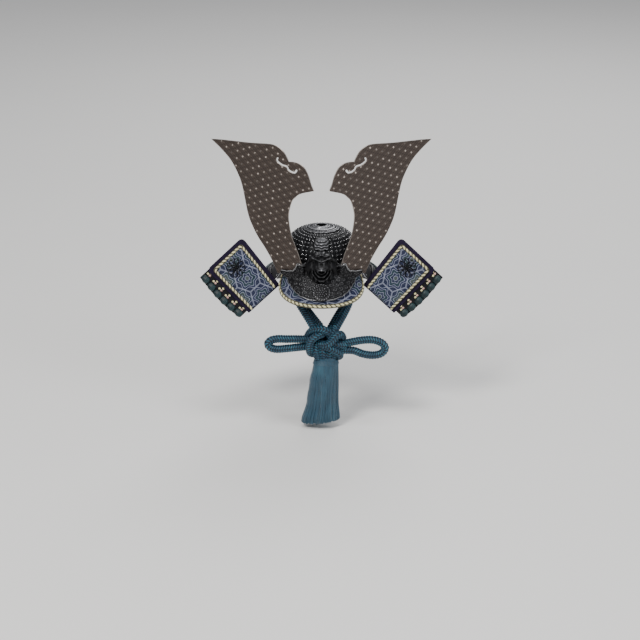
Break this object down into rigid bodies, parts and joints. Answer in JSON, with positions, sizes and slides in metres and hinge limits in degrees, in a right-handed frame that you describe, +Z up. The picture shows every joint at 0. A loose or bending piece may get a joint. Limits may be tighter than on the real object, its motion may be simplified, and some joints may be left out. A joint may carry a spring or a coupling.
{
  "type": "display samurai helmet",
  "caption": "Miniature samurai helmet with a ribbed bowl, tall flat horns, laced neck guard, turned-back brocade flaps, and a knotted chin cord with a tassel.",
  "frame": {"origin": "middle of the plane of the bowl's rim, where a head or a head-shaped seat carries the helmet", "axes": "+Z up through the crown, the face of the helmet looks along -Y, +X to the picture's right"},
  "size_m": [0.251, 0.1551, 0.2928],
  "materials": {
    "bowl_iron": "satin",
    "grey_iron": "satin",
    "cast_metal": "satin",
    "horn_metal": "satin",
    "lacquer": "gloss",
    "flap_leather": "satin",
    "brocade": "woven",
    "cream_braid": "braided",
    "teal_silk": "braided"
  },
  "bodies": {
    "root": {"bowl": "bowl_iron", "crown_ring": "grey_iron", "crest_plate": "grey_iron", "cord_ring_left": "grey_iron", "cord_ring_right": "grey_iron", "horn_stand": "cast_metal", "beast_head": "cast_metal", "stand_badge": "cast_metal", "flap_flower_left": "cast_metal", "flap_flower_right": "cast_metal", "horn_left": "horn_metal", "horn_right": "horn_metal", "base_band": "lacquer", "lame_1": "lacquer", "lame_2": "lacquer", "lame_3": "lacquer", "edge_plate_left": "lacquer", "edge_plate_right": "lacquer", "flap_left": "flap_leather", "flap_right": "flap_leather", "visor": "brocade", "flap_panel_left": "brocade", "flap_panel_right": "brocade", "visor_braid": "cream_braid", "flap_braid_left": "cream_braid", "flap_braid_right": "cream_braid", "lacing_2": "teal_silk", "lacing_3": "teal_silk", "edge_lacing_left": "teal_silk", "edge_lacing_right": "teal_silk", "strand_left_front": "teal_silk", "strand_left_back": "teal_silk", "strand_right_front": "teal_silk", "strand_right_back": "teal_silk", "loop_left": "teal_silk", "loop_right": "teal_silk", "knot": "teal_silk", "tassel": "teal_silk"}
  },
  "joints": []
}
